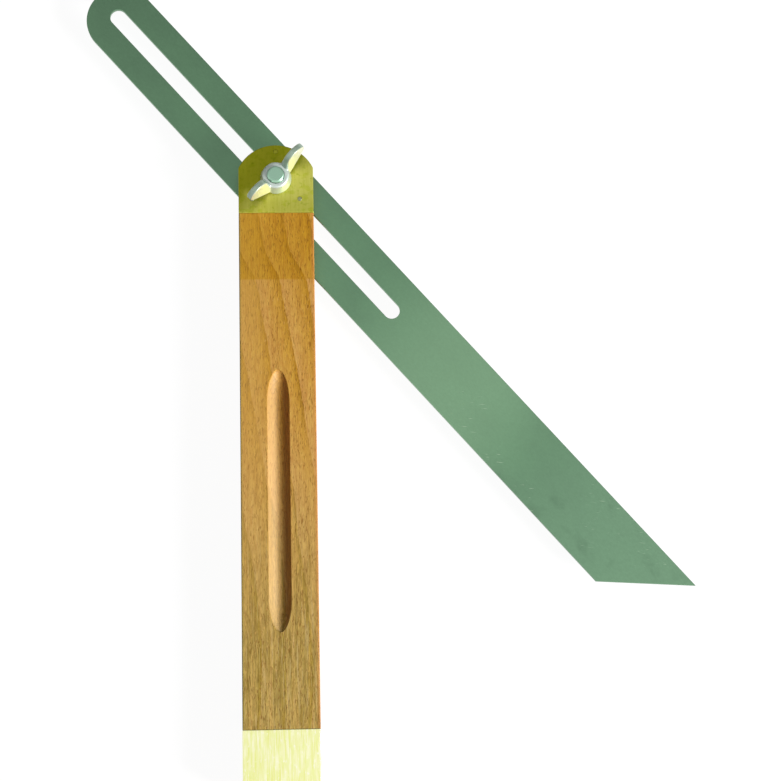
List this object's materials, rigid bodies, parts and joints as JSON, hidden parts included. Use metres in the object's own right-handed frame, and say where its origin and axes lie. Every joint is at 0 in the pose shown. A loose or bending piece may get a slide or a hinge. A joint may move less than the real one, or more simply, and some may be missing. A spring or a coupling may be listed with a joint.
{
  "type": "sliding bevel",
  "caption": "Sliding bevel: a brass-faced beech stock with a kerf, and a slotted steel blade that turns and slides on a bolt and is clamped by a wing nut.",
  "frame": {"origin": "middle of the butt end face, at mid-width and mid-thickness of the stock", "axes": "+Y runs up the stock to its rounded head, +Z comes out of the front face where the wing nut is, and +X is the side to which the blade points"},
  "size_m": [0.2125, 0.2903, 0.0339],
  "materials": {
    "beech": "clear-finished beech with short dark flecks",
    "plate_brass": "brushed along the stock",
    "cap_brass": "brushed along the stock",
    "pin_metal": "filed flush",
    "blade_steel": "satin grey-green steel",
    "bolt_steel": "plated, turned end",
    "plated_steel": "bright plated, forged"
  },
  "bodies": {
    "stock": {"stock": "beech", "front_head_plate": "plate_brass", "back_head_plate": "plate_brass", "butt_cap": "cap_brass", "front_plate_pin_left": "pin_metal", "front_plate_pin_right": "pin_metal", "front_plate_pin_top": "pin_metal", "back_plate_pin_left": "pin_metal", "back_plate_pin_right": "pin_metal", "back_plate_pin_top": "pin_metal", "front_cap_pin_left": "pin_metal", "front_cap_pin_right": "pin_metal", "back_cap_pin_left": "pin_metal", "back_cap_pin_right": "pin_metal"},
    "clamp_bolt": {"clamp_bolt": "bolt_steel"},
    "blade": {"blade": "blade_steel"},
    "wing_nut": {"wing_nut": "plated_steel"}
  },
  "joints": [
    {"name": "blade_swivel", "type": "hinge", "parent": "stock", "child": "clamp_bolt", "pos_m": [0, 0.2156, 0], "axis": [0, 0, 1], "range_deg": [-33, 309.9]},
    {"name": "blade_slide", "type": "slide", "parent": "clamp_bolt", "child": "blade", "axis": [0.6633, -0.7484, 0], "range_m": [-0.0608, 0.0845]},
    {"name": "wing_nut_turn", "type": "hinge", "parent": "clamp_bolt", "child": "wing_nut", "pos_m": [0, 0.2156, 0], "axis": [0, 0, 1], "range_deg": [0, 720]}
  ]
}
